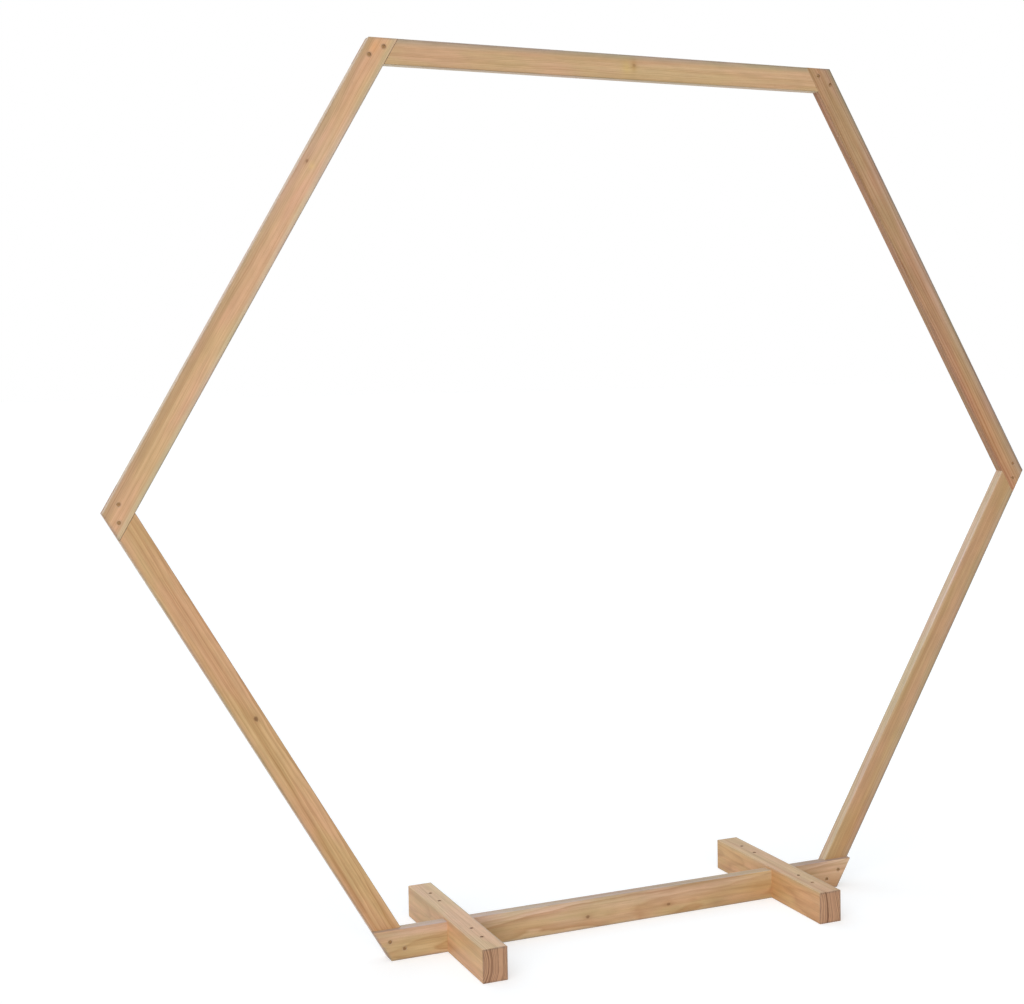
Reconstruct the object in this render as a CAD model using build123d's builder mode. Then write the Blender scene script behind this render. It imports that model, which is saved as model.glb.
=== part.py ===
from build123d import *
from math import cos, radians, sin, sqrt
import os

# Six-sided open frame of wooden rails, standing on two wooden feet.
# Millimetres. X runs along the frame's width, -Y is the front and Z is up.
# The origin is on the floor, at the middle of the frame.

# Hexagon of rails
side_length = 1100.0            # outer edge of one side, corner to corner
rail_width = 54.0               # across a rail's front face
rail_thickness = 27.0           # front to back
bottom_rail_height = 65.0       # the bottom rail is a broader board
edge_radius = 2.0               # long edges, rounded
end_chamfer = 1.0               # sawn ends, eased by hand

# Feet
foot_inset = 156.0              # hexagon's bottom corner to the middle of a foot
foot_length = 484.0             # front to back
foot_width = 54.0
foot_height = 70.0
foot_board_thickness = 27.0     # the board that lies on top of the two blocks

# Holes for countersunk wood screws
head_diameter = 8.0
shank_diameter = 4.0
head_recess = 2.0               # a head lies this far below the wood
countersink_angle = 90.0
corner_screw_length = 22.0
corner_screw_pitch = 36.0       # between the two screws of a corner
bottom_screw_length = 34.0      # through the bottom rail, which has its whole thickness
foot_screw_length = 50.0
foot_screw_pitch = 62.0         # between the two screws of a block

# Worked out from the sizes above
half_thickness = rail_thickness / 2
outer_reach = side_length * sqrt(3) / 2         # hexagon's centre to a rail's outer edge
inner_reach = outer_reach - rail_width
bottom_reach = inner_reach + bottom_rail_height
centre_height = bottom_reach                    # the bottom rail's lower edge is on the floor
block_height = foot_height - foot_board_thickness
foot_x = side_length / 2 - foot_inset
foot_end_y = foot_length / 2
block_middle_y = (rail_thickness + foot_end_y) / 2

# The sides in order round the hexagon, the first one facing right and up
sides = ["upper_right", "top", "upper_left", "lower_left", "bottom", "lower_right"]


def facing(side):
    """The way a side faces, in degrees from +X towards +Z."""
    return (sides.index(side) + 0.5) * 360 / len(sides)


def neighbours(side):
    """The sides before and after this one."""
    place = sides.index(side)
    return sides[place - 1], sides[(place + 1) % len(sides)]


def outer_edge(side):
    """A side's outer edge: the way it faces and its distance from the hexagon's centre."""
    return facing(side), bottom_reach if side == "bottom" else outer_reach


def inner_edge(side):
    """A side's inner edge: the way it faces and its distance from the hexagon's centre."""
    return facing(side), inner_reach


def middle_line(side):
    """The line halfway between a side's two edges."""
    angle, distance = outer_edge(side)
    return angle, (distance + inner_reach) / 2


def crossing(first, second):
    """Point of the XZ plane where two edges or lines cross."""
    a = radians(first[0])
    b = radians(second[0])
    x = (first[1] * sin(b) - second[1] * sin(a)) / sin(b - a)
    z = (second[1] * cos(a) - first[1] * cos(b)) / sin(b - a)
    return (x, centre_height + z)


def outline(side, runs_past):
    """A rail's outline. It runs past its neighbours to their outer edges, or stops at their inner ones."""
    stop = outer_edge if runs_past else inner_edge
    before, after = neighbours(side)
    return [
        crossing(stop(before), outer_edge(side)),
        crossing(outer_edge(side), stop(after)),
        crossing(inner_edge(side), stop(after)),
        crossing(stop(before), inner_edge(side)),
    ]


def ease_rail(rail, side, end_face):
    """Ease a rail's sawn ends at its front (0) or back (-1) face, then round its long edges, front and back."""
    angle = radians(facing(side))
    along = Axis((0, 0, 0), (-sin(angle), 0, cos(angle)))
    face = rail.faces().filter_by(Axis.Y).sort_by(Axis.Y)[end_face]
    chamfer(face.edges() - face.edges().filter_by(along), end_chamfer)
    long_edges = rail.edges().filter_by(along).group_by(Axis.Y)
    fillet(long_edges[0] + long_edges[-1], edge_radius)


def drill(places, screw_length):
    """Holes for countersunk screws in the part being built. Each place is a plane on the wood's face."""
    with Locations(*places):
        with Locations((0, 0, -head_recess)):
            CounterSinkHole(
                radius=shank_diameter / 2,
                counter_sink_radius=head_diameter / 2,
                depth=screw_length,
                counter_sink_angle=countersink_angle,
            )


def corner_places(first, second, front_face_y):
    """Places of a corner's two screws, either side of the middle of the overlap, on the front face."""
    x, z = crossing(middle_line(first), middle_line(second))
    across = radians((facing(first) + facing(second)) / 2 + 90)
    step_x = corner_screw_pitch / 2 * cos(across)
    step_z = corner_screw_pitch / 2 * sin(across)
    return [
        Plane(origin=(x - step_x, front_face_y, z - step_z), z_dir=(0, -1, 0)),
        Plane(origin=(x + step_x, front_face_y, z + step_z), z_dir=(0, -1, 0)),
    ]


def foot_places(x):
    """Places of a foot's four screws: two for the block in front and two for the block behind."""
    near = block_middle_y - foot_screw_pitch / 2
    far = block_middle_y + foot_screw_pitch / 2
    return [Plane(origin=(x, y, foot_height), z_dir=(0, 0, 1)) for y in (-far, -near, near, far)]


top_left_screws = corner_places("top", "upper_left", -half_thickness)
top_right_screws = corner_places("upper_right", "top", -half_thickness)
left_screws = corner_places("upper_left", "lower_left", -half_thickness)
right_screws = corner_places("lower_right", "upper_right", -half_thickness)
bottom_left_screws = corner_places("lower_left", "bottom", -rail_thickness)
bottom_right_screws = corner_places("bottom", "lower_right", -rail_thickness)


def lapped_rail(side, in_front):
    """A rail with a half-lap at each end. Its long half is in front of its neighbours or behind them."""
    with BuildPart() as rail:
        with BuildSketch(Plane.XZ):
            Polygon(*outline(side, runs_past=in_front), align=None)
        extrude(amount=half_thickness)
        with BuildSketch(Plane.XZ):
            Polygon(*outline(side, runs_past=not in_front), align=None)
        extrude(amount=-half_thickness)
        ease_rail(rail, side, end_face=0 if in_front else -1)
    return rail


# Round the hexagon, the rails lie in front and behind in turn
with BuildPart() as top_rail:
    add(lapped_rail("top", in_front=False))
    drill(top_left_screws + top_right_screws, corner_screw_length)

with BuildPart() as upper_left_rail:
    add(lapped_rail("upper_left", in_front=True))
    drill(top_left_screws + left_screws, corner_screw_length)

with BuildPart() as upper_right_rail:
    add(lapped_rail("upper_right", in_front=True))
    drill(top_right_screws + right_screws, corner_screw_length)

with BuildPart() as lower_left_rail:
    add(lapped_rail("lower_left", in_front=False))
    drill(left_screws, corner_screw_length)
    drill(bottom_left_screws, bottom_screw_length)

with BuildPart() as lower_right_rail:
    add(lapped_rail("lower_right", in_front=False))
    drill(right_screws, corner_screw_length)
    drill(bottom_right_screws, bottom_screw_length)

# The bottom rail keeps its whole thickness and lies in front of the lower rails' back halves.
# Each foot's board drops into a notch in its upper edge.
with BuildPart() as bottom_rail:
    with BuildSketch(Plane.XZ):
        Polygon(*outline("bottom", runs_past=True), align=None)
    extrude(amount=rail_thickness)
    ease_rail(bottom_rail, "bottom", end_face=0)
    with BuildSketch(Plane.XY.offset(block_height)):
        with Locations((-foot_x, 0), (foot_x, 0)):
            Rectangle(foot_width, 2 * rail_thickness)
    extrude(amount=bottom_rail_height, mode=Mode.SUBTRACT)
    drill(bottom_left_screws + bottom_right_screws, bottom_screw_length)


def build_foot_board(x):
    """The board on top of a foot, across the bottom rail and both blocks."""
    with BuildPart() as board:
        with BuildSketch(Plane.XY.offset(block_height)):
            with Locations((x, 0)):
                Rectangle(foot_width, foot_length)
        extrude(amount=foot_board_thickness)
        for end in board.faces().filter_by(Axis.Y):
            joint_edge = end.edges().sort_by(Axis.Z)[0]
            chamfer(end.edges() - [joint_edge], end_chamfer)
        upper_face = board.faces().sort_by(Axis.Z)[-1]
        fillet(upper_face.edges().filter_by(Axis.Y), edge_radius)
        drill(foot_places(x), foot_screw_length)
    return board


def build_foot_block(x, rail_face_y, end_y):
    """A block under a foot's board, from the bottom rail's face to the foot's end."""
    with BuildPart() as block:
        with BuildSketch(Plane.XY):
            with Locations((x, (rail_face_y + end_y) / 2)):
                Rectangle(foot_width, abs(end_y - rail_face_y))
        extrude(amount=block_height)
        end = block.faces().filter_by(Axis.Y).sort_by_distance((x, end_y, 0))[0]
        joint_edge = end.edges().sort_by(Axis.Z)[-1]
        chamfer(end.edges() - [joint_edge], end_chamfer)
        underside = block.faces().sort_by(Axis.Z)[0]
        fillet(underside.edges().filter_by(Axis.Y), edge_radius)
        drill(foot_places(x), foot_screw_length)
    return block


pieces = {
    "top_rail": top_rail,
    "upper_left_rail": upper_left_rail,
    "upper_right_rail": upper_right_rail,
    "lower_left_rail": lower_left_rail,
    "lower_right_rail": lower_right_rail,
    "bottom_rail": bottom_rail,
}
for hand, x in (("left", -foot_x), ("right", foot_x)):
    pieces[f"{hand}_foot_board"] = build_foot_board(x)
    pieces[f"{hand}_foot_front_block"] = build_foot_block(x, -rail_thickness, -foot_end_y)
    pieces[f"{hand}_foot_back_block"] = build_foot_block(x, 0, foot_end_y)

os.makedirs("parts", exist_ok=True)
for name, piece in pieces.items():
    piece.part.label = name
    export_step(piece.part, f"parts/{name}.step")
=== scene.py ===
import bmesh
import bpy
import math
import random
from mathutils import Matrix, Vector


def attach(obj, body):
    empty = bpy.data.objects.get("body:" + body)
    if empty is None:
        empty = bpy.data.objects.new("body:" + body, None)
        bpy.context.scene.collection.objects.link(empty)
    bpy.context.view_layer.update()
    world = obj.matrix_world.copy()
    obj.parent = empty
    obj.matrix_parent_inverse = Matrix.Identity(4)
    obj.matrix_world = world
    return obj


# A six-sided frame of pine rails on two wooden feet.
# Metres, +Z up, the front towards -Y. A piece's own coordinates, for its wood, are in millimetres.

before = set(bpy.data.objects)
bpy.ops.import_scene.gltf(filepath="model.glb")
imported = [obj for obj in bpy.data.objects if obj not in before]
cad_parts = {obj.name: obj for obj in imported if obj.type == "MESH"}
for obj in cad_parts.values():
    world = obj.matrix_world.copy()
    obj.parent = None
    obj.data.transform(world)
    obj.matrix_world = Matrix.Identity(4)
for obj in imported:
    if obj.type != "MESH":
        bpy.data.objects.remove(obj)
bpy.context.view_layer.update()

MM = 0.001

# Sizes that the wood's grain and the screws follow
SIDE_LENGTH = 1.1
RAIL_WIDTH = 0.054
RAIL_THICKNESS = 0.027
BOTTOM_RAIL_HEIGHT = 0.065
FOOT_INSET = 0.156
FOOT_LENGTH = 0.484
FOOT_WIDTH = 0.054
FOOT_HEIGHT = 0.070
HEAD_DIAMETER = 0.008
HEAD_RECESS = 0.002
SHANK_DIAMETER = 0.004
CORNER_SCREW_LENGTH = 0.022
CORNER_SCREW_PITCH = 0.036
BOTTOM_SCREW_LENGTH = 0.034
FOOT_SCREW_LENGTH = 0.050
FOOT_SCREW_PITCH = 0.062

# Worked out from the sizes above
HALF_THICKNESS = RAIL_THICKNESS / 2
OUTER_REACH = SIDE_LENGTH * math.sqrt(3) / 2
INNER_REACH = OUTER_REACH - RAIL_WIDTH
BOTTOM_REACH = INNER_REACH + BOTTOM_RAIL_HEIGHT
CENTRE = Vector((0, 0, BOTTOM_REACH))
FOOT_X = SIDE_LENGTH / 2 - FOOT_INSET
FRONT = Vector((0, -1, 0))
UP = Vector((0, 0, 1))

SIDES = ["upper_right", "top", "upper_left", "lower_left", "bottom", "lower_right"]


def facing(side):
    """The way a side faces, as an angle from +X towards +Z."""
    return math.radians((SIDES.index(side) + 0.5) * 360 / len(SIDES))


def outward(side):
    """The way a side faces, as a vector."""
    return Vector((math.cos(facing(side)), 0, math.sin(facing(side))))


def outer_reach(side):
    """From the hexagon's centre to a side's outer edge."""
    return BOTTOM_REACH if side == "bottom" else OUTER_REACH


def middle_reach(side):
    """From the hexagon's centre to the middle of a side's rail."""
    return (outer_reach(side) + INNER_REACH) / 2


def overlap_middle(first, second):
    """Where the middle lines of two rails cross."""
    a = facing(first)
    b = facing(second)
    x = (middle_reach(first) * math.sin(b) - middle_reach(second) * math.sin(a)) / math.sin(b - a)
    z = (middle_reach(second) * math.cos(a) - middle_reach(first) * math.cos(b)) / math.sin(b - a)
    return CENTRE + Vector((x, 0, z))


# Camera: the photograph's pixels, radians and metres
PICTURE_WIDTH = 1024
PICTURE_HEIGHT = 1004
FOCAL_LENGTH_PX = 1743.6
LENS_AXIS_PX = (655.0, 437.39)
YAW = 0.4494462
PITCH = -0.0456527
ROLL = -0.0125080
CAMERA_PLACE = Vector((-1.5957544, -3.5043884, 1.2529894))
SENSOR_WIDTH = 36

camera_data = bpy.data.cameras.new("camera")
camera_data.sensor_width = SENSOR_WIDTH
camera_data.lens = FOCAL_LENGTH_PX / PICTURE_WIDTH * SENSOR_WIDTH
camera_data.shift_x = (PICTURE_WIDTH / 2 - LENS_AXIS_PX[0]) / PICTURE_WIDTH
camera_data.shift_y = (LENS_AXIS_PX[1] - PICTURE_HEIGHT / 2) / PICTURE_WIDTH
camera_data.clip_start = 0.05
camera_data.clip_end = 200
camera = bpy.data.objects.new("camera", camera_data)
bpy.context.scene.collection.objects.link(camera)
forward = Vector((math.sin(YAW) * math.cos(PITCH), math.cos(YAW) * math.cos(PITCH), math.sin(PITCH)))
level_right = Vector((math.cos(YAW), -math.sin(YAW), 0))
level_up = level_right.cross(forward)
right = level_right * math.cos(ROLL) + level_up * math.sin(ROLL)
up = level_up * math.cos(ROLL) - level_right * math.sin(ROLL)
camera.matrix_world = Matrix.Translation(CAMERA_PLACE) @ Matrix((right, up, -forward)).transposed().to_4x4()
bpy.context.scene.camera = camera
bpy.context.scene.view_settings.view_transform = "Standard"


class Tree:
    """Short ways to add and link nodes."""

    def __init__(self, owner):
        owner.use_nodes = True
        self.nodes = owner.node_tree.nodes
        self.links = owner.node_tree.links
        self.nodes.clear()

    def feed(self, socket, value):
        """Link an output to a socket, or set a constant on it."""
        if isinstance(value, bpy.types.NodeSocket):
            self.links.new(value, socket)
        elif value is not None:
            socket.default_value = value

    def add(self, kind, inputs=None, **settings):
        """Add a node, with its settings and inputs."""
        node = self.nodes.new(kind)
        for key, value in settings.items():
            setattr(node, key, value)
        for key, value in (inputs or {}).items():
            self.feed(node.inputs[key], value)
        return node

    def math(self, operation, a, b=None, c=None, clamp=False):
        """A sum of numbers."""
        node = self.add("ShaderNodeMath", operation=operation, use_clamp=clamp)
        for socket, value in zip(node.inputs, (a, b, c)):
            self.feed(socket, value)
        return node.outputs[0]

    def vector(self, operation, a, b=None, out=0):
        """A sum of vectors. Output 1 is the one for sums that give a number."""
        node = self.add("ShaderNodeVectorMath", operation=operation)
        for socket, value in zip(node.inputs, (a, b)):
            self.feed(socket, value)
        return node.outputs[out]

    def combine(self, x, y, z):
        """A vector from three numbers."""
        return self.add("ShaderNodeCombineXYZ", {0: x, 1: y, 2: z}).outputs[0]

    def mix(self, factor, a, b, blend="MIX"):
        """Two colours mixed."""
        node = self.add("ShaderNodeMix", data_type="RGBA", blend_type=blend)
        self.feed(node.inputs[0], factor)
        self.feed(node.inputs[6], a)
        self.feed(node.inputs[7], b)
        return node.outputs[2]

    def tint(self, colour, mask, where_one, where_zero=(1, 1, 1)):
        """A colour times one set of factors where the mask is 1, and another where it is 0."""
        factors = self.mix(mask, (*where_zero, 1), (*where_one, 1))
        return self.mix(1.0, colour, factors, "MULTIPLY")

    def falloff(self, away):
        """A soft patch: 1 where this vector is 0, and fading out where it is longer than 1."""
        far = self.vector("DOT_PRODUCT", away, away, out=1)
        return self.math("EXPONENT", self.math("MULTIPLY", far, -1.0))

    def step(self, value, low, high, start=0.0, end=1.0):
        """A smooth step from one value to another."""
        node = self.add("ShaderNodeMapRange", interpolation_type="SMOOTHSTEP")
        for socket, given in zip(node.inputs, (value, low, high, start, end)):
            self.feed(socket, given)
        return node.outputs[0]

    def noise(self, point, sizes, detail=2.0, roughness=0.5, out=0):
        """Noise whose grains have these sizes. Output 1 is the coloured one, for vectors."""
        scaled = self.vector("DIVIDE", point, sizes)
        inputs = {"Vector": scaled, "Scale": 1.0, "Detail": detail, "Roughness": roughness}
        return self.add("ShaderNodeTexNoise", inputs).outputs[out]


def srgb(red, green, blue):
    """A colour given in the usual 0 to 255, as the linear one that nodes use."""
    linear = [((c / 255 + 0.055) / 1.055) ** 2.4 for c in (red, green, blue)]
    return (*linear, 1.0)


def grey(level):
    """A grey of this level."""
    return (level, level, level, 1)


def times(colour, red, green, blue):
    """A colour with each channel multiplied."""
    return (colour[0] * red, colour[1] * green, colour[2] * blue, 1.0)


def seen_directly(tree):
    """1 for what the camera sees, also in a mirror or through glass, and 0 for light on its way."""
    path = tree.add("ShaderNodeLightPath")
    seen = tree.math("MAXIMUM", path.outputs["Is Camera Ray"], path.outputs["Is Glossy Ray"])
    return tree.math("MAXIMUM", seen, path.outputs["Is Transmission Ray"])


# World: soft light all round, and a white background
world = bpy.data.worlds.new("studio")
bpy.context.scene.world = world
tree = Tree(world)
ambient = tree.add("ShaderNodeBackground", {"Color": (0.99, 0.995, 1.0, 1), "Strength": 0.40})
white = tree.add("ShaderNodeBackground", {"Color": (1, 1, 1, 1), "Strength": 1.0})
shown = tree.add("ShaderNodeMixShader", {0: seen_directly(tree), 1: ambient.outputs[0], 2: white.outputs[0]})
tree.add("ShaderNodeOutputWorld", {"Surface": shown.outputs[0]})


def sun(name, strength, direction, angle, colour):
    """A lamp far away, as wide in the sky as its angle, in degrees."""
    data = bpy.data.lights.new(name, "SUN")
    data.energy = strength
    data.angle = math.radians(angle)
    data.color = colour
    lamp = bpy.data.objects.new(name, data)
    lamp.rotation_euler = Vector(direction).to_track_quat("-Z", "Y").to_euler()
    bpy.context.scene.collection.objects.link(lamp)


sun("key", strength=2.6, direction=(0.55, 0.80, -0.24), angle=70, colour=(1.0, 0.98, 0.95))
sun("back", strength=0.6, direction=(0.20, -0.95, -0.30), angle=70, colour=(0.96, 0.98, 1.0))
sun("top", strength=0.75, direction=(0.35, -0.30, -0.90), angle=60, colour=(0.66, 0.84, 1.0))

# Floor. It lights the wood as pale stone would, and the camera sees it lifted to white, with its shadows.
floor_mesh = bpy.data.meshes.new("floor")
grid = bmesh.new()
bmesh.ops.create_grid(grid, x_segments=1, y_segments=1, size=60)
grid.to_mesh(floor_mesh)
grid.free()
floor = bpy.data.objects.new("floor", floor_mesh)
bpy.context.scene.collection.objects.link(floor)
floor_material = bpy.data.materials.new("floor")
tree = Tree(floor_material)
plain = tree.add("ShaderNodeBsdfDiffuse", {"Color": (0.62, 0.615, 0.60, 1)})
shaded = tree.add("ShaderNodeBsdfDiffuse", {"Color": (0.62, 0.62, 0.62, 1)})
lift = tree.add("ShaderNodeEmission", {"Color": (1, 1, 1, 1), "Strength": 0.505})
paper = tree.add("ShaderNodeAddShader", {0: shaded.outputs[0], 1: lift.outputs[0]})
shown = tree.add("ShaderNodeMixShader", {0: seen_directly(tree), 1: plain.outputs[0], 2: paper.outputs[0]})
tree.add("ShaderNodeOutputMaterial", {"Surface": shown.outputs[0]})
floor_mesh.materials.append(floor_material)


class Screw:
    """A screw's head, the way it faces, its length, and its hole's darkness inside, ring of staining and
    painted shade, and chips.
    """

    def __init__(self, place, direction, length, dark, stain_and_shade, chipped):
        self.place = place
        self.direction = direction
        self.length = length
        self.dark = dark
        self.stain_and_shade = stain_and_shade
        self.chipped = chipped


def corner_screws(first, second, dark, stain_and_shade):
    """A corner's two screws, either side of the middle of the overlap."""
    front = HALF_THICKNESS
    length = CORNER_SCREW_LENGTH
    # The bottom rail keeps its whole thickness and lies further forward
    if "bottom" in (first, second):
        front = RAIL_THICKNESS
        length = BOTTOM_SCREW_LENGTH
    middle = overlap_middle(first, second) + FRONT * (front - HEAD_RECESS)
    between = (outward(first) + outward(second)).normalized()
    across = FRONT.cross(between) * CORNER_SCREW_PITCH / 2
    return [Screw(middle + across * hand, FRONT, length, dark, stain_and_shade, chipped=0.2) for hand in (-1, 1)]


def foot_screws(x, holes):
    """A foot's four screws, from front to back, with each hole's darkness inside, its ring of staining and
    painted shade, and how chipped it is.
    """
    middle = (RAIL_THICKNESS + FOOT_LENGTH / 2) / 2
    near = middle - FOOT_SCREW_PITCH / 2
    far = middle + FOOT_SCREW_PITCH / 2
    found = []
    for y, hole in zip((-far, -near, near, far), holes):
        found.append(Screw(Vector((x, y, FOOT_HEIGHT - HEAD_RECESS)), UP, FOOT_SCREW_LENGTH, *hole))
    return found


# Per hole: how dark its inside is, raw wood with painted shade, and how strong its ring of staining and
# painted shade is
screws = {
    "top_left": corner_screws("top", "upper_left", dark=0.8, stain_and_shade=0.7),
    "top_right": corner_screws("upper_right", "top", dark=0.4, stain_and_shade=0.3),
    "left": corner_screws("upper_left", "lower_left", dark=0.4, stain_and_shade=0.3),
    "right": corner_screws("lower_right", "upper_right", dark=0.0, stain_and_shade=0.2),
    "bottom_left": corner_screws("lower_left", "bottom", dark=0.4, stain_and_shade=0.3),
    "bottom_right": corner_screws("bottom", "lower_right", dark=0.0, stain_and_shade=0.2),
    "left_foot": foot_screws(-FOOT_X, ((0.4, 0.4, 0.3), (0.4, 0.4, 0.3), (0.3, 0.3, 0.2), (0.4, 0.3, 0.3))),
    "right_foot": foot_screws(FOOT_X, ((0.0, 0.2, 0.2), (1.0, 0.15, 1.0), (0.5, 0.4, 0.3), (0.9, 0.4, 0.2))),
}


class Grain:
    """The lie of the wood in one piece: local x runs along the grain, y across it and z through it, in mm.

    The ends are planes, and within the lap from an end the inner edge lies against another rail.
    """

    def __init__(self, origin, along, across, half_width, half_thickness, ends, lap=0.0):
        x = Vector(along)
        y = Vector(across)
        self.origin = Vector(origin)
        self.turn = Matrix((x, y, x.cross(y))).transposed()
        self.half_width = half_width / MM
        self.half_thickness = half_thickness / MM
        self.ends = ends
        self.lap = lap / MM

    def local(self, point):
        """A point of the frame, in the piece's own coordinates."""
        return self.turn.transposed() @ (point - self.origin) / MM


def rail_grain(side):
    """The grain of a rail. Its ends are sawn along the outer edges of the sides next to it."""
    number = SIDES.index(side)
    ends = []
    for other in (SIDES[number - 1], SIDES[(number + 1) % len(SIDES)]):
        ends.append((outward(other), outer_reach(other) + outward(other).dot(CENTRE)))
    middle = CENTRE + outward(side) * middle_reach(side)
    if side == "bottom":
        middle += FRONT * HALF_THICKNESS
    along = Vector((-math.sin(facing(side)), 0, math.cos(facing(side))))
    half_width = outer_reach(side) - middle_reach(side)
    return Grain(middle, along, outward(side), half_width, HALF_THICKNESS, ends, RAIL_WIDTH)


def foot_grain(x):
    """The grain of a foot, from front to back."""
    ends = [(-FRONT, FOOT_LENGTH / 2), (FRONT, FOOT_LENGTH / 2)]
    return Grain((x, 0, FOOT_HEIGHT / 2), (0, 1, 0), (-1, 0, 0), FOOT_WIDTH / 2, FOOT_HEIGHT / 2, ends)


# Knots
KNOT_BEND_ALONG = 5.5           # how far the grain is bent, as multiples of a knot's size
KNOT_BEND_ACROSS = 2.4
KNOT_PUSH = 0.75                # the share by which the grain gives way
KNOT_DIP = 2.2                  # mm by which the year rings dip
KNOT_WIDTH = 0.72               # its width as a share of its length along the grain
KNOT_UNEVEN = 0.9               # how far its outline wanders, as a multiple of its size
KNOT_FADE = 1.75                # where its dark wood ends, as a multiple of its size
KNOT_RINGS = 4.2                # radians of its own rings in a mm
KNOT_HALO_POWER = 2.5           # how steeply the tint around it fades


class Knots:
    """What a piece's knots do to its wood: they push the grain aside and darken it."""

    def __init__(self, tree, x, y, uneven, knots):
        self.bent_y = y
        self.dip = 0.0
        self.mask = 0.0
        self.surround = 0.0
        self.rings = 0.0
        for (knot_x, knot_y), size, strength in knots:
            dx = tree.math("SUBTRACT", x, knot_x)
            dy = tree.math("SUBTRACT", y, knot_y)
            bend = (size * KNOT_BEND_ALONG, size * KNOT_BEND_ACROSS, 1.0)
            near = tree.falloff(tree.vector("DIVIDE", tree.combine(dx, dy, 0.0), bend))
            push = tree.math("MULTIPLY", tree.math("MULTIPLY", near, -KNOT_PUSH * strength), dy)
            self.bent_y = tree.math("ADD", self.bent_y, push)
            self.dip = tree.math("MULTIPLY_ADD", near, KNOT_DIP * strength, self.dip)
            away = tree.combine(tree.math("MULTIPLY", dx, KNOT_WIDTH), dy, 0.0)
            distance = tree.vector("LENGTH", away, out=1)
            distance = tree.math("MULTIPLY_ADD", uneven, size * KNOT_UNEVEN, distance)
            inside = tree.step(distance, size, size * KNOT_FADE, 1.0, 0.0)
            ring = tree.math("SINE", tree.math("MULTIPLY", distance, KNOT_RINGS))
            halo = tree.math("POWER", near, KNOT_HALO_POWER)
            self.mask = tree.math("MAXIMUM", self.mask, tree.math("MULTIPLY", inside, strength))
            self.surround = tree.math("MAXIMUM", self.surround, halo)
            self.rings = tree.math("MULTIPLY_ADD", ring, inside, self.rings)


# Year rings, in mm
WANDER_GRAIN = (420, 70, 70)
WANDER_REACH = (0, 22, 22)
RIPPLE_GRAIN = (75, 24, 24)
RIPPLE_REACH = (0, 3.2, 3.2)
CROWDING_GRAIN = 13             # over this depth the rings crowd together and spread
CROWDING = 2.2                  # by this many rings
LATE_BORDER = 0.35              # darkness at the border between two years
LATE_STOPS = ((0.07, 0.0), (0.45, 0.14), (0.78, 0.72), (0.92, 1.0))     # and within a year
LATE_LEAST = 0.35               # the palest year's share of that darkness
LATE_SPREAD = 0.75              # and what the darkest year has on top of it


def late_wood(tree, point, x, z, knots, pith, slope, spacing):
    """The dark part of each year's ring, 0 to 1. Rings lie round the pith and wander along the piece."""
    half = (0.5, 0.5, 0.5)
    wander = tree.vector("SUBTRACT", tree.noise(point, WANDER_GRAIN, detail=1, out=1), half)
    ripple = tree.vector("SUBTRACT", tree.noise(point, RIPPLE_GRAIN, detail=2, out=1), half)
    wander = tree.vector("MULTIPLY", wander, WANDER_REACH)
    ripple = tree.vector("MULTIPLY", ripple, RIPPLE_REACH)
    lean_y = tree.math("MULTIPLY_ADD", x, slope[0], -pith[0])
    lean_z = tree.math("MULTIPLY_ADD", x, slope[1], -pith[1])
    place = tree.vector("ADD", tree.combine(0.0, knots.bent_y, z), tree.combine(0.0, lean_y, lean_z))
    place = tree.vector("ADD", place, tree.vector("ADD", wander, ripple))
    radius = tree.math("ADD", tree.vector("LENGTH", place, out=1), knots.dip)
    slow = tree.math("DIVIDE", radius, CROWDING_GRAIN)
    crowd = tree.add("ShaderNodeTexNoise", {"W": slow, "Scale": 1.0, "Detail": 1.0}, noise_dimensions="1D")
    phase = tree.math("MULTIPLY_ADD", crowd.outputs[0], CROWDING, tree.math("DIVIDE", radius, spacing))
    year = tree.add("ShaderNodeTexWhiteNoise", {"W": tree.math("FLOOR", phase)}, noise_dimensions="1D")
    ramp = tree.add("ShaderNodeValToRGB", {0: tree.math("FRACT", phase)})
    stops = ramp.color_ramp.elements
    for stop in stops:
        stop.color = grey(LATE_BORDER)
    for position, level in LATE_STOPS:
        stops.new(position).color = grey(level)
    strength = tree.math("MULTIPLY_ADD", year.outputs["Value"], LATE_SPREAD, LATE_LEAST)
    return tree.math("MULTIPLY", ramp.outputs[0], strength)


# Colours of the sawn ends, the knots and the inside of a screw hole
END_PALE = srgb(190, 148, 119)
END_DARK = srgb(112, 79, 62)
KNOT_PALE = srgb(138, 96, 60)
KNOT_DARK = srgb(92, 60, 38)
# The inside of a screw hole: its raw wall, darkened further with painted shade
HOLE_DARK = srgb(96, 66, 42)

# Tints, each as the factors for red, green and blue
PLAIN = (1, 1, 1)
GREYED = (0.98, 1.03, 1.12)
# Painted shade on the rounded part of a long edge
ROUNDED = (0.71, 0.75, 0.83)
SAWN_EDGE = (0.66, 0.74, 0.84)
# A ring of staining round a screw hole, with painted shade that widens its dark spot
STAIN_AND_SHADE = (0.52, 0.46, 0.42)

# Where marks lie, in z, on a rail's front face or a foot's top, and a reach longer than any piece
FACE = -HALF_THICKNESS / MM
TOP = FOOT_HEIGHT / 2 / MM
WHOLE = 9999


def marked(tree, wood, local, marks):
    """Soft patches, each with its middle, its reach along x, y and z, and the tint at its middle."""
    for middle, reach, colour in marks:
        away = tree.vector("DIVIDE", tree.vector("SUBTRACT", local, middle), reach)
        wood = tree.tint(wood, tree.falloff(away), colour)
    return wood


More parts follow.
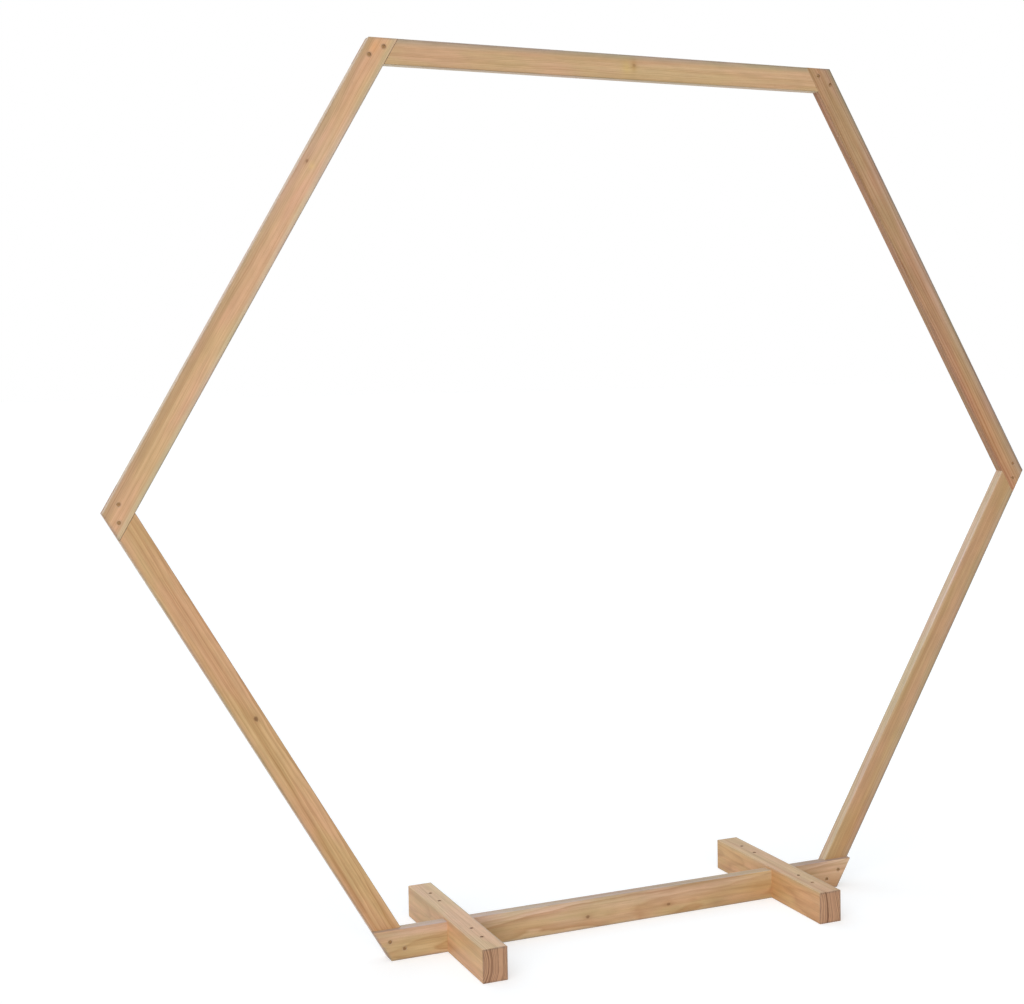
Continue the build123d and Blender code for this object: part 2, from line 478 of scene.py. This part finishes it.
def edges_greyed_and_shaded(tree, wood, grain, place, y, z, end, wear, edge_grey_and_shade):
    """Long edges greyer near the arris and with painted shade where rounded; sawn ends darker and greyer at
    the rim.
    """
    from_y = tree.math("SUBTRACT", grain.half_width, tree.math("ABSOLUTE", y))
    from_z = tree.math("SUBTRACT", grain.half_thickness, tree.math("ABSOLUTE", z))
    from_inner = tree.math("ADD", y, grain.half_width)
    from_end = WHOLE
    for direction, reach in grain.ends:
        along = tree.vector("DOT_PRODUCT", place, direction, out=1)
        from_end = tree.math("MINIMUM", from_end, tree.math("MULTIPLY_ADD", along, -1 / MM, reach / MM))
    joint = tree.math("LESS_THAN", from_end, grain.lap)
    joint = tree.math("MULTIPLY", joint, tree.math("LESS_THAN", from_inner, grain.half_width))
    from_edge = tree.math("MULTIPLY_ADD", joint, grain.half_width, from_y)
    from_edge = tree.math("MINIMUM", tree.math("MAXIMUM", from_edge, from_z), from_end)
    patchy = tree.step(wear, 0.3, 0.6, 0.55, 1.0)
    long_face = tree.math("SUBTRACT", 1.0, end)
    side_share = tree.math("MULTIPLY", tree.step(y, -1.0, 1.0, *edge_grey_and_shade), long_face)
    greyed = tree.math("MULTIPLY", tree.step(from_edge, 0.0, 9.0, 1.0, 0.0), side_share)
    # The rounded part of an edge gets painted shade, in patches
    rounded = tree.math("MULTIPLY", tree.step(from_edge, 1.0, 4.8, 1.0, 0.0), side_share)
    wood = tree.tint(wood, greyed, GREYED)
    wood = tree.tint(wood, tree.math("MULTIPLY", rounded, patchy), ROUNDED)
    rim = tree.step(tree.math("MINIMUM", from_y, from_z), 0.5, 5.0, 1.0, 0.0)
    rim = tree.math("MULTIPLY", tree.math("MULTIPLY", rim, end), patchy)
    return tree.tint(wood, rim, SAWN_EDGE)


def drilled(tree, wood, grain, local, tone, wear, screws):
    """Screw holes: dark inside, raw wood with painted shade, crushed and pale round the rim, ringed with
    staining and painted shade, and none on the face behind.
    """
    head = HEAD_DIAMETER / 2 / MM
    far = 100.0
    for screw in screws:
        direction = grain.turn.transposed() @ screw.direction
        from_head = tree.vector("SUBTRACT", local, grain.local(screw.place))
        rise = tree.vector("DOT_PRODUCT", from_head, direction, out=1)
        flat = tree.vector("MULTIPLY", from_head, [1 - round(abs(part)) for part in direction])
        distance = tree.vector("LENGTH", flat, out=1)
        distance = tree.math("ADD", distance, tree.step(rise, -8.0, -5.0, far, 0.0))
        inside = tree.step(distance, head - 0.1, head + 0.15, 1.0, 0.0)
        rim = tree.step(distance, head + 0.8, head + 2.5 + 2.0 * screw.chipped, 1.0, 0.0)
        rim = tree.math("MULTIPLY", tree.step(distance, head, head + 0.4), rim)
        rim = tree.math("MULTIPLY", rim, tree.step(wear, 0.3, 0.6, 0.1, 0.4 + 0.5 * screw.chipped))
        # A ring of staining and painted shade round the hole
        stain_and_shade_ring = tree.step(distance, head, head + 4.0, screw.stain_and_shade, 0.0)
        wood = tree.mix(rim, wood, times(tone, 1.25, 1.35, 1.5))
        wood = tree.tint(wood, stain_and_shade_ring, STAIN_AND_SHADE)
        # Painted shade over the raw wall inside the hole
        wood = tree.mix(tree.math("MULTIPLY", inside, screw.dark), wood, HOLE_DARK)
    return wood


def pine(name, grain, tone, pith, slope=(0.0, 0.0), spacing=5.0, contrast=1.0, streaks=1.0, seed=0.0,
         knots=(), marks=(), screws=(), inner=PLAIN, outer=PLAIN, edge_grey_and_shade=(0.2, 1.0)):
    """Solid pine: rings round a pith, fibres, streaks and knots that all run through the piece.

    The pith is given in y and z, and the slope is how far the rings lean in y and z along the piece.
    Spacing is a year's growth in mm, contrast is how much the rings show, and streaks how much the broader
    bands do. The seed keeps two pieces from being alike. Marks are as in marked(). Inner and outer are
    painted light and shade on the two narrow faces, at -y and at +y, and edge_grey_and_shade is how much the
    edges at
    -y and at +y are greyed and given painted shade.
    """
    material = bpy.data.materials.new(name)
    tree = Tree(material)
    coordinates = tree.add("ShaderNodeTexCoord")
    mapping = tree.add("ShaderNodeMapping", {
        "Vector": coordinates.outputs["Object"],
        "Location": grain.origin,
        "Rotation": grain.turn.to_euler(),
        "Scale": (MM, MM, MM),
    }, vector_type="TEXTURE")
    local = mapping.outputs[0]
    x, y, z = tree.add("ShaderNodeSeparateXYZ", {0: local}).outputs
    point = tree.vector("ADD", local, (seed * 173.1, seed * 61.7, seed * 29.3))
    normal = coordinates.outputs["Normal"]

    # Figure
    bumps = tree.noise(point, (5, 4, 4))
    knot = Knots(tree, x, y, bumps, knots)
    late = late_wood(tree, point, x, z, knot, pith, slope, spacing)
    streak = tree.step(tree.noise(point, (430, 8, 8), detail=3, roughness=0.6), 0.40, 0.72)
    broad = tree.step(tree.noise(point, (600, 22, 22)), 0.35, 0.65)
    blotch = tree.noise(point, (55, 14, 14), detail=3)
    zone = tree.step(tree.noise(point, (210, 40, 40)), 0.35, 0.65)
    fibre = tree.noise(point, (50, 0.8, 0.8), detail=3, roughness=0.65)
    pores = tree.step(tree.noise(point, (9, 0.35, 0.35), detail=1), 0.67, 0.75)
    wear = tree.noise(point, (24, 6, 6), detail=3)

    # Colour of the long faces
    wood = tree.mix(tree.math("MULTIPLY", late, contrast, clamp=True),
                    times(tone, 1.10, 1.12, 1.14), times(tone, 0.84, 0.72, 0.60))
    wood = tree.tint(wood, tree.math("MULTIPLY", streak, streaks), (0.86, 0.80, 0.72), (1.03, 1.03, 1.04))
    wood = tree.tint(wood, tree.math("MULTIPLY", broad, streaks), (0.95, 0.92, 0.88), (1.03, 1.04, 1.05))
    wood = tree.tint(wood, tree.step(blotch, 0.3, 0.7), (0.95, 0.95, 0.93), (1.04, 1.03, 1.02))
    wood = tree.tint(wood, zone, (0.97, 1.02, 0.94), (1.03, 0.98, 1.02))
    wood = tree.tint(wood, tree.step(fibre, 0.25, 0.75), (1.07, 1.07, 1.08), (0.90, 0.89, 0.87))
    wood = tree.mix(tree.math("MULTIPLY", pores, 0.4), wood, times(tone, 0.45, 0.36, 0.28))
    wood = marked(tree, wood, local, marks)

    # The narrow faces: painted light and shade, set by the way each faces
    across = tree.vector("DOT_PRODUCT", normal, grain.turn.col[1], out=1)
    wood = tree.tint(wood, tree.step(across, -0.97, -0.8, 1.0, 0.0), inner)
    wood = tree.tint(wood, tree.step(across, 0.8, 0.97), outer)

    # Sawn ends are darker and show the rings more
    facing_end = tree.math("ABSOLUTE", tree.vector("DOT_PRODUCT", normal, grain.turn.col[0], out=1))
    end = tree.step(facing_end, 0.55, 0.85)
    end_wood = tree.mix(tree.math("MULTIPLY", late, 1.4, clamp=True), END_PALE, END_DARK)
    end_wood = tree.tint(end_wood, blotch, (1.12, 1.12, 1.12), (0.86, 0.86, 0.86))
    wood = tree.mix(tree.math("MULTIPLY", end, 0.85), wood, end_wood)

    if knots:
        ringed = tree.math("MULTIPLY_ADD", knot.rings, 0.35, 0.5)
        heart = tree.mix(ringed, KNOT_PALE, KNOT_DARK)
        wood = tree.mix(tree.math("MULTIPLY", knot.surround, 0.35), wood, times(tone, 0.66, 0.52, 0.40))
        wood = tree.mix(tree.math("MULTIPLY", knot.mask, 0.9), wood, heart)

    # Edges: greyer near the arris, with painted shade where they are rounded
    wood = edges_greyed_and_shaded(tree, wood, grain, coordinates.outputs["Object"], y, z, end, wear, edge_grey_and_shade)
    wood = drilled(tree, wood, grain, local, tone, wear, screws)

    # Relief and polish
    height = tree.math("MULTIPLY_ADD", late, 0.35, tree.math("MULTIPLY", fibre, 0.55))
    height = tree.math("MULTIPLY_ADD", pores, -0.5, height)
    height = tree.math("MULTIPLY_ADD", wear, 0.25, height)
    bump = tree.add("ShaderNodeBump", {"Strength": 0.3, "Distance": 0.0004, "Height": height})
    rough = tree.math("MULTIPLY_ADD", late, -0.06, 0.42)
    rough = tree.math("MULTIPLY_ADD", end, 0.25, rough)
    rough = tree.math("MULTIPLY_ADD", fibre, 0.08, rough)
    shader = tree.add("ShaderNodeBsdfPrincipled", {
        "Base Color": wood,
        "Roughness": rough,
        "Normal": bump.outputs[0],
        "Specular IOR Level": 0.3,
        "Sheen Weight": 0.12,
        "Sheen Roughness": 0.45,
    })
    tree.add("ShaderNodeOutputMaterial", {"Surface": shader.outputs[0]})
    return material


# In a rail's coordinates the inner edge is at -y and the front face at -z, so the bottom rail's upper face is
# at y = -32.5. A foot's x runs from front to back, its y from right to left and its z up.
# The right-hand rails are darker partly as boards and partly as painted shade, for light falling off to the
# right
woods = {
    "top_rail": pine(
        "pine_top", rail_grain("top"), srgb(196, 163, 127), pith=(-150, 30), slope=(0.006, 0.0), spacing=2.7,
        contrast=0.9, streaks=0.6, seed=1.0, knots=[((-49, 5), 3.0, 0.35)],
        # The first two marks are painted shade along the top edge
        marks=[((0, 27, FACE), (WHOLE, 7, 6), (0.86, 0.90, 0.97)),
               ((0, 21, FACE), (WHOLE, 6, 6), (0.81, 0.90, 0.98)),
               ((-48, 3, FACE), (6, 13, 6), (0.88, 0.82, 0.62)),
               ((-30, 0, FACE), (11, 16, 6), (1.03, 1.05, 0.84))],
        # inner is painted light from below on the underside
        inner=(1.40, 1.56, 1.78), screws=screws["top_left"] + screws["top_right"]),
    "upper_left_rail": pine(
        "pine_upper_left", rail_grain("upper_left"), srgb(205, 166, 129), pith=(160, 40), slope=(0.004, 0.01),
        spacing=2.9, contrast=0.9, streaks=0.45, seed=2.0, knots=[((-260, 14), 2.8, 0.6)],
        # The first mark is painted shade along the outer edge
        marks=[((0, 20, FACE), (WHOLE, 9, 6), (0.83, 0.83, 0.86)),
               ((-538, 8, FACE), (16, 10, 6), (1.08, 0.99, 0.84)),
               ((-200, 0, FACE), (170, 30, 6), (1.05, 1.07, 1.15)),
               ((-300, 0, FACE), (55, 30, 6), (1.02, 1.02, 1.12)),
               # Painted highlight along the inner edge, where its round catches the light
               ((0, -22, FACE), (WHOLE, 6, 6), (0.96, 1.14, 1.28)),
               ((-256, 1, FACE), (7, 6, 6), (1.14, 1.18, 1.05))],
        # inner is painted light on the inner narrow face, and outer is painted shade on the outer one
        inner=(0.74, 1.03, 1.45), outer=(0.72, 0.76, 0.82), edge_grey_and_shade=(1.0, 0.6),
        screws=screws["top_left"] + screws["left"]),
    "upper_right_rail": pine(
        "pine_upper_right", rail_grain("upper_right"), srgb(175, 140, 108), pith=(90, 52), slope=(0.008, 0.0),
        spacing=5.4, contrast=1.3, seed=3.0,
        marks=[((-430, -27, FACE), (260, 7, 6), (0.82, 0.68, 0.60)),
               ((-430, -12, FACE), (220, 14, 6), (1.15, 0.97, 0.94)),
               ((0, 15, FACE), (WHOLE, 7, 6), (1.0, 1.07, 1.22)),
               # Painted shade along the outer edge
               ((0, 27, FACE), (WHOLE, 7, 6), (0.62, 0.76, 0.94))],
        # inner is painted shade, with a warm cast, on the inner narrow face
        inner=(1.08, 0.96, 0.90), screws=screws["top_right"] + screws["right"]),
    "lower_left_rail": pine(
        "pine_lower_left", rail_grain("lower_left"), srgb(200, 162, 122), pith=(-60, 60), slope=(0.0, 0.012),
        spacing=5.5, contrast=0.8, seed=4.0, knots=[((-36, -8), 4.0, 0.9)],
        screws=screws["left"] + screws["bottom_left"]),
    "lower_right_rail": pine(
        "pine_lower_right", rail_grain("lower_right"), srgb(181, 147, 110), pith=(-140, 40),
        slope=(0.004, 0.006), spacing=2.8, contrast=0.9, streaks=0.6, seed=5.0,
        # The first mark is painted shade along the outer edge
        marks=[((0, 27, FACE), (WHOLE, 5, 6), (0.78, 0.92, 1.18)),
               ((0, 16, FACE), (WHOLE, 6, 6), (0.94, 1.01, 1.15)),
               # Painted highlight along the inner edge, where it turns up towards the light
               ((150, -27, FACE), (420, 6, 6), (1.10, 1.16, 1.32)),
               ((-430, 5, FACE), (90, 22, 6), (1.06, 0.97, 0.92))],
        # inner is painted light from above on the inner narrow face
        inner=(1.10, 1.28, 1.64), screws=screws["right"] + screws["bottom_right"]),
    "bottom_rail": pine(
        "pine_bottom", rail_grain("bottom"), srgb(194, 162, 125), pith=(6, 62), slope=(0.0, 0.016),
        spacing=5.5, contrast=0.8, seed=6.0, knots=[((-97, 6), 3.6, 0.75), ((101, 7), 3.2, 0.75)],
        # The first mark is painted light from above along the upper edge
        marks=[((0, -32, FACE), (WHOLE, 19, 6), (1.09, 1.18, 1.44)),
               ((-235, 0, FACE), (105, 30, 8), (1.20, 1.22, 1.30)),
               # Painted light, lifting the shadow that the left foot casts on the rail
               ((-290, 20, FACE), (36, 14, 8), (1.14, 1.13, 1.18)),
               ((-150, 2, FACE), (45, 12, 8), (0.91, 0.92, 0.93)),
               ((240, 4, FACE), (110, 26, 8), (0.95, 0.88, 0.84)),
               ((530, 0, FACE), (70, 40, 10), (1.10, 1.08, 1.08)),
               # Painted shade on the upper face between the right foot and the lower right rail
               ((480, -32.5, 0), (60, 6, 20), (0.64, 0.56, 0.50)),
               # Painted warm shade on the front, in the corner beside the right foot
               ((335, 5, FACE), (45, 26, 8), (0.95, 0.86, 0.76)),
               ((165, 21, FACE), (26, 10, 6), (1.14, 1.16, 1.22)),
               ((226, 22, FACE), (24, 9, 6), (0.85, 0.85, 0.84)),
               # Painted warm shade on the upper face beside the right foot
               ((335, -32.5, 0), (72, 5, 20), (1.04, 0.90, 0.66))],
        # inner is painted shade, with a cool cast, on the upper face
        inner=(0.80, 0.86, 1.08), screws=screws["bottom_left"] + screws["bottom_right"]),
}
foot_woods = {
    "left": pine(
        "pine_left_foot", foot_grain(-FOOT_X), srgb(202, 159, 113), pith=(170, 10), slope=(0.008, 0.004),
        # The mark is painted cool light on the top face
        spacing=5.2, seed=7.0, marks=[((0, 0, TOP), (WHOLE, WHOLE, 6), (1.02, 1.11, 1.28))],
        edge_grey_and_shade=(1.0, 0.2), screws=screws["left_foot"]),
    "right": pine(
        "pine_right_foot", foot_grain(FOOT_X), srgb(198, 155, 109), pith=(150, -6), slope=(0.006, 0.004),
        spacing=5.8, seed=8.0,
        # The first mark is painted warm shade on the left face, in the corner with the bottom rail
        marks=[((-58, 27, -5), (55, 12, 45), (0.94, 0.86, 0.76)),
               ((-170, 27, 0), (60, 12, 50), (1.04, 1.02, 1.0)),
               ((120, 27, 0), (80, 12, 50), (1.10, 1.06, 1.08)),
               # Painted cool light on the top face
               ((0, 0, TOP), (WHOLE, WHOLE, 6), (0.95, 1.03, 1.16))],
        edge_grey_and_shade=(1.0, 0.2), screws=screws["right_foot"]),
}
for hand, wood in foot_woods.items():
    for part in ("board", "front_block", "back_block"):
        woods[f"{hand}_foot_{part}"] = wood

for name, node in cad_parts.items():
    node.data.materials.clear()
    node.data.materials.append(woods[name])

# Screws
AROUND = 24
THREAD_PITCH = 0.0018
THREAD_STEPS = 6
THREAD_RIDGE = 0.28             # half the ridge's width, as a share of the pitch
THREAD_START = 0.0004           # below the smooth part
THREAD_STOP = 0.0009            # above the point
POINT_LENGTH = 0.0030
POINT_STEPS = 5
SMOOTH_LENGTH = 0.004
LONG_SCREW = 0.03               # from this length the smooth part is longer
LONG_SMOOTH_LENGTH = 0.006
HEAD_RADIUS = HEAD_DIAMETER / 2 - 0.00012
NECK_RADIUS = SHANK_DIAMETER / 2 * 0.86
ROOT_RADIUS = SHANK_DIAMETER / 2 * 0.72
CREST_RADIUS = SHANK_DIAMETER / 2 - 0.00005
HEAD_RIM = ((0.0, 0.93), (-0.00012, 0.985), (-0.00035, 1.0), (-0.00050, 0.985))     # height, share of radius
CROSS_ARM = HEAD_RADIUS * 0.60
CROSS_HALF_SLOT = HEAD_RADIUS * 0.13
CROSS_DEPTH = 0.0014
CROSS_TAPER = (0.55, 0.7)       # how much smaller the cross is at its bottom, in x and y


def turned(radius, turn):
    """A point at this radius and this share of a turn."""
    return radius * math.cos(math.tau * turn), radius * math.sin(math.tau * turn)


def thread_radius(z, turn):
    """The thread's radius at a height and share of a turn: a ridge that winds round the core."""
    ridge = max(0.0, 1 - abs((z / THREAD_PITCH + turn) % 1.0 - 0.5) / THREAD_RIDGE)
    return ROOT_RADIUS + (CREST_RADIUS - ROOT_RADIUS) * ridge


def screw_mesh(name, length):
    """A countersunk wood screw with a cross recess, its head's top at the origin and its axis down -Z."""
    mesh = bmesh.new()
    turns = [k / AROUND for k in range(AROUND)]
    smooth_length = LONG_SMOOTH_LENGTH if length > LONG_SCREW else SMOOTH_LENGTH
    profile = [(z, HEAD_RADIUS * share) for z, share in HEAD_RIM]
    cone_end = NECK_RADIUS - HEAD_RADIUS + HEAD_RIM[-1][0]
    profile += [(cone_end, NECK_RADIUS), (-smooth_length, NECK_RADIUS)]
    rows = []
    for z, radius in profile:
        rows.append([mesh.verts.new((*turned(radius, turn), z)) for turn in turns])
    z = -smooth_length - THREAD_START
    while z > POINT_LENGTH + THREAD_STOP - length:
        rows.append([mesh.verts.new((*turned(thread_radius(z, turn), turn), z)) for turn in turns])
        z -= THREAD_PITCH / THREAD_STEPS
    for count in range(1, POINT_STEPS):
        share = count / POINT_STEPS
        radius = ROOT_RADIUS * (1 - share)
        rows.append([mesh.verts.new((*turned(radius, turn), z - POINT_LENGTH * share)) for turn in turns])
    point = mesh.verts.new((0, 0, z - POINT_LENGTH))
    for upper, lower in zip(rows, rows[1:]):
        for k in range(AROUND):
            mesh.faces.new((upper[k], lower[k], lower[k - 1], upper[k - 1]))
    for k in range(AROUND):
        mesh.faces.new((rows[-1][k], point, rows[-1][k - 1]))

    # The head's top: a flat ring round a cross with sloping walls
    corners = (
        Vector((CROSS_ARM, -CROSS_HALF_SLOT)),
        Vector((CROSS_ARM, CROSS_HALF_SLOT)),
        Vector((CROSS_HALF_SLOT, CROSS_HALF_SLOT)),
    )
    outline = []
    for quarter in range(4):
        quarter_turn = Matrix.Rotation(math.pi / 2 * quarter, 2)
        outline += [quarter_turn @ corner for corner in corners]
    top = [mesh.verts.new((corner.x, corner.y, 0.0)) for corner in outline]
    bottom = []
    for corner in outline:
        bottom.append(mesh.verts.new((corner.x * CROSS_TAPER[0], corner.y * CROSS_TAPER[1], -CROSS_DEPTH)))
    edges = []
    for k in range(len(outline)):
        mesh.faces.new((top[k], top[k - 1], bottom[k - 1], bottom[k]))
        edges.append(mesh.edges.get((top[k], top[k - 1])))
    mesh.faces.new(bottom)
    for k in range(AROUND):
        edges.append(mesh.edges.get((rows[0][k], rows[0][k - 1])))
    bmesh.ops.triangle_fill(mesh, use_beauty=True, edges=edges)
    bmesh.ops.recalc_face_normals(mesh, faces=mesh.faces)
    data = bpy.data.meshes.new(name)
    mesh.to_mesh(data)
    mesh.free()
    return data


def screw_material():
    """Steel with a yellow-brown finish, patchy and finely rough."""
    material = bpy.data.materials.new("bronzed_steel")
    tree = Tree(material)
    coordinates = tree.add("ShaderNodeTexCoord").outputs["Object"]
    patch = tree.noise(coordinates, (0.0011, 0.0011, 0.0011), detail=3)
    fine = tree.noise(coordinates, (0.0002, 0.0002, 0.0002))
    colour = tree.mix(tree.step(patch, 0.35, 0.7), srgb(190, 150, 104), srgb(134, 104, 72))
    rough = tree.math("MULTIPLY_ADD", fine, 0.25, 0.32)
    bump = tree.add("ShaderNodeBump", {"Strength": 0.2, "Distance": 0.00003, "Height": fine})
    shader = tree.add("ShaderNodeBsdfPrincipled", {
        "Base Color": colour,
        "Roughness": rough,
        "Metallic": 0.6,
        "Normal": bump.outputs[0],
    })
    tree.add("ShaderNodeOutputMaterial", {"Surface": shader.outputs[0]})
    return material


steel = screw_material()
screw_meshes = {}
for length in (CORNER_SCREW_LENGTH, BOTTOM_SCREW_LENGTH, FOOT_SCREW_LENGTH):
    screw_meshes[length] = screw_mesh(f"screw_{length / MM:.0f}", length)
    screw_meshes[length].materials.append(steel)

chance = random.Random(7)
for group, places in screws.items():
    for number, screw in enumerate(places, 1):
        piece = bpy.data.objects.new(f"screw_{group}_{number}", screw_meshes[screw.length])
        bpy.context.scene.collection.objects.link(piece)
        spin = Matrix.Rotation(chance.uniform(0, math.tau), 4, "Z")
        aim = screw.direction.to_track_quat("Z", "Y").to_matrix().to_4x4()
        piece.matrix_world = Matrix.Translation(screw.place) @ aim @ spin
        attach(piece, "root")
